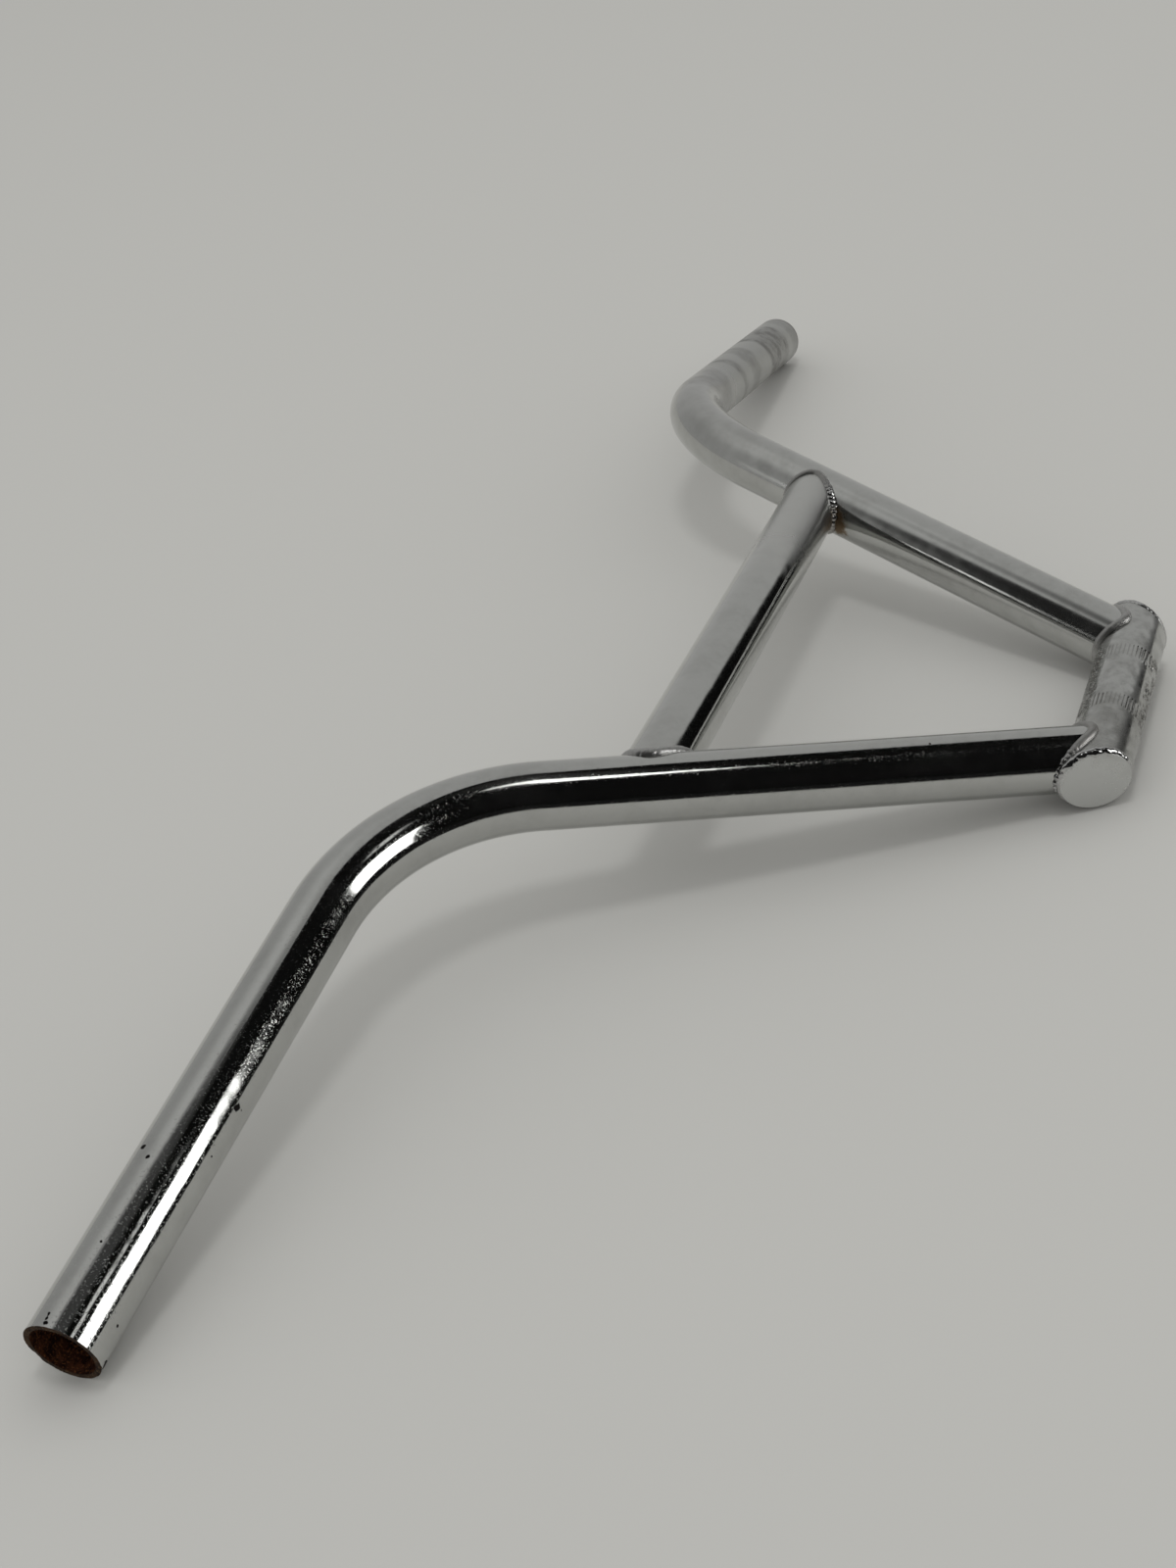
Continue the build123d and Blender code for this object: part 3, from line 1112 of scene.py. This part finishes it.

# %% [markdown]
# ## Floor
#
# The bar lies on a pale table. The floor is a wide plane at the height of the solids' lowest point. A ray
# that has bounced off metal sees the floor turn nearly black past a line near the bar. That is a painted dark
# reflection: every other ray sees the floor pale there.

# %% Lay the floor
floor_colour = (0.455, 0.452, 0.435, 1)
painted_dark_reflection = (0.01, 0.01, 0.01, 1)
floor_half = 6
dark_reflection_reach = 0.085
dark_reflection_softness = 0.02
near_way = (-0.447, -0.894)
floor = bmesh.new()
bmesh.ops.create_grid(floor, x_segments=1, y_segments=1, size=floor_half)
bmesh.ops.translate(floor, verts=floor.verts, vec=(0, 0, cad_low.z))
floor_mesh = bpy.data.meshes.new("floor")
floor.to_mesh(floor_mesh)
floor.free()
in_scene("floor", floor_mesh)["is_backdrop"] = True
pale, tree, shader = new_material("pale_floor")
place = add(tree, "ShaderNodeTexCoord", {}).outputs["Object"]
sides = add(tree, "ShaderNodeSeparateXYZ", {0: place}).outputs
near_x = times(tree, sides[0], near_way[0])
near_y = times(tree, sides[1], near_way[1])
painted_dark_mask = ramp(tree, calc(tree, "ADD", near_x, near_y), dark_reflection_reach - dark_reflection_softness, dark_reflection_reach + dark_reflection_softness)
bounced = add(tree, "ShaderNodeLightPath", {}).outputs["Is Glossy Ray"]
# Painted dark reflection: past the line, rays that have bounced off metal see the floor nearly black.
colour = blend(tree, times(tree, painted_dark_mask, bounced), floor_colour, painted_dark_reflection)
tree.links.new(colour, shader.inputs["Base Color"])
shader.inputs["Roughness"].default_value = 0.6
shader.inputs["Specular IOR Level"].default_value = 0.0
floor_mesh.materials.append(pale)
print("Floor at", round(cad_low.z / mm, 2), "mm")

# %% [markdown]
# ## What the chrome sees
#
# A mirror looks like its surroundings. A photograph of a room could be wrapped round the scene, but here
# the world is painted by direction, in degrees of azimuth and elevation. A panel is a patch between two
# azimuths and two elevations, with soft edges.

# %% Directions and panels
world = bpy.data.worlds.new("studio")
bpy.context.scene.world = world
world.use_nodes = True
tree = world.node_tree
tree.nodes.clear()
heading = add(tree, "ShaderNodeTexCoord", {}).outputs["Generated"]
parts = add(tree, "ShaderNodeSeparateXYZ", {0: heading}).outputs
azimuth = times(tree, calc(tree, "ARCTAN2", parts[1], parts[0]), 180 / pi)
elevation = times(tree, calc(tree, "ARCSINE", parts[2]), 180 / pi)


def within(value, low, high, soft):
    """1 between two levels, with soft edges."""
    above = ramp(tree, value, low - soft, low + soft)
    return times(tree, above, ramp(tree, value, high + soft, high - soft))


def panel(low_azimuth, high_azimuth, low_elevation, high_elevation, soft, strength):
    """A bright or pale patch of the surroundings."""
    across = within(azimuth, low_azimuth, high_azimuth, soft)
    shape = times(tree, across, within(elevation, low_elevation, high_elevation, soft))
    return times(tree, shape, strength)


print("World", world.name, "with", len(tree.nodes), "nodes so far")

# %% [markdown]
# There is a paper sweep behind the bar, a dark room in front of it, a tall bright window at the side, a
# lamp high above it and a few dim gleams. Only rays that have bounced off metal see them. Other rays get an
# even pale light, so the floor and the background stay plain. The sweep's edges lean inwards as they rise.

# %% Paint the surroundings
even_level = 0.893
backdrop_level = 0.455
room_level = 0.004
sweep_level = 0.45
left_edge = ramp(tree, elevation, 20, 60, -28, -12)
right_edge = ramp(tree, elevation, 25, 62, 118, 104)
past_left = ramp(tree, calc(tree, "SUBTRACT", azimuth, left_edge), -1.5, 1.5)
past_right = ramp(tree, calc(tree, "SUBTRACT", azimuth, right_edge), 1.5, -1.5)
between = times(tree, past_left, past_right)
sweep = times(tree, between, ramp(tree, elevation, 74, 64))
shades = calc(tree, "ADD", panel(48, 125, -60, 42, 16, -0.09), panel(28, 95, 48, 72, 12, 0.08))
surroundings = {
    "paper sweep": times(tree, sweep, calc(tree, "ADD", shades, sweep_level)),
    "window": panel(-92, -66.5, 6, 35, 0.8, 4.0),
    "lamp": panel(-113, -82, 65, 78, 1, 3.0),
    "gleam above the window": panel(-76, -67, 48, 55, 1.5, 0.9),
    "gleam past the sweep": panel(118, 121, 8, 19, 0.8, 3.0),
    "grey wall": panel(120, 180, -90, 9, 2, 0.14),
    "ceiling": panel(-180, 180, 70, 90, 4, 0.055),
}
seen = room_level
for patch in surroundings.values():
    seen = calc(tree, "ADD", seen, patch)
ray = add(tree, "ShaderNodeLightPath", {}).outputs
plain = add(tree, "ShaderNodeMix", {0: ray["Is Camera Ray"], 2: even_level, 3: backdrop_level}).outputs[0]
level = add(tree, "ShaderNodeMix", {0: ray["Is Glossy Ray"], 2: plain, 3: seen}).outputs[0]
background = add(tree, "ShaderNodeBackground", {"Color": (1, 1, 0.985, 1), "Strength": level})
tree.links.new(background.outputs[0], add(tree, "ShaderNodeOutputWorld", {}).inputs["Surface"])
print("The chrome sees:", ", ".join(surroundings))

# %% [markdown]
# ## One soft lamp
#
# The shadows under the bar are soft and lie close below it, so the light comes from a wide lamp overhead.
# It is hidden from the chrome, which already has its own lights.

# %% Hang the lamp
lamp_place = Vector((-0.45, -0.15, 3.2))
lamp_aim = Vector((-0.1, 0.1, 0))
lamp_data = bpy.data.lights.new("overhead", "AREA")
lamp_data.shape = "DISK"
lamp_data.size = 0.7
lamp_data.energy = 16
lamp = in_scene("overhead", lamp_data)
lamp.location = lamp_place
lamp.rotation_euler = (lamp_aim - lamp_place).to_track_quat("-Z", "Y").to_euler()
lamp.visible_glossy = False
print("Lamp", lamp_data.size, "m wide,", lamp_place.z, "m up")

# %% [markdown]
# ## Camera
#
# The camera stands where the photograph was taken: low, close to the near grip and looking down the bar.
# Its place and lens were fitted to the tubes' edges, and the lens is worked out for a frame of 1200 by 1600.

# %% Place the camera
camera_place = Vector((-0.67833, -0.10295, 0.38846))
look_way = Vector((0.78869, 0.35197, -0.50406))
right_way = Vector((0.32506, -0.93466, -0.14403))
up_way = right_way.cross(look_way)
focal_pixels = 2294.2
frame_height = 1600
camera_data = bpy.data.cameras.new("camera")
camera_data.lens = camera_data.sensor_width * focal_pixels / frame_height
camera = in_scene("camera", camera_data)
turned = Matrix((right_way, up_way, -look_way)).transposed().to_4x4()
camera.matrix_world = Matrix.Translation(camera_place) @ turned
bpy.context.scene.camera = camera
bpy.context.scene.view_settings.view_transform = "Standard"
print("Lens", round(camera_data.lens, 2), "mm")

# %% [markdown]
# ## Measure and finish
#
# The box round the fine meshes is printed beside the box round the solids. The fine
# meshes must stay inside the box round the solids.

# %% Note the sizes and finish
box_low, box_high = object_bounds()
for label, low, high in (("Solids", cad_low, cad_high), ("Fine meshes", box_low, box_high)):
    print(label, [round((after - before) / mm, 2) for before, after in zip(low, high)], "mm")
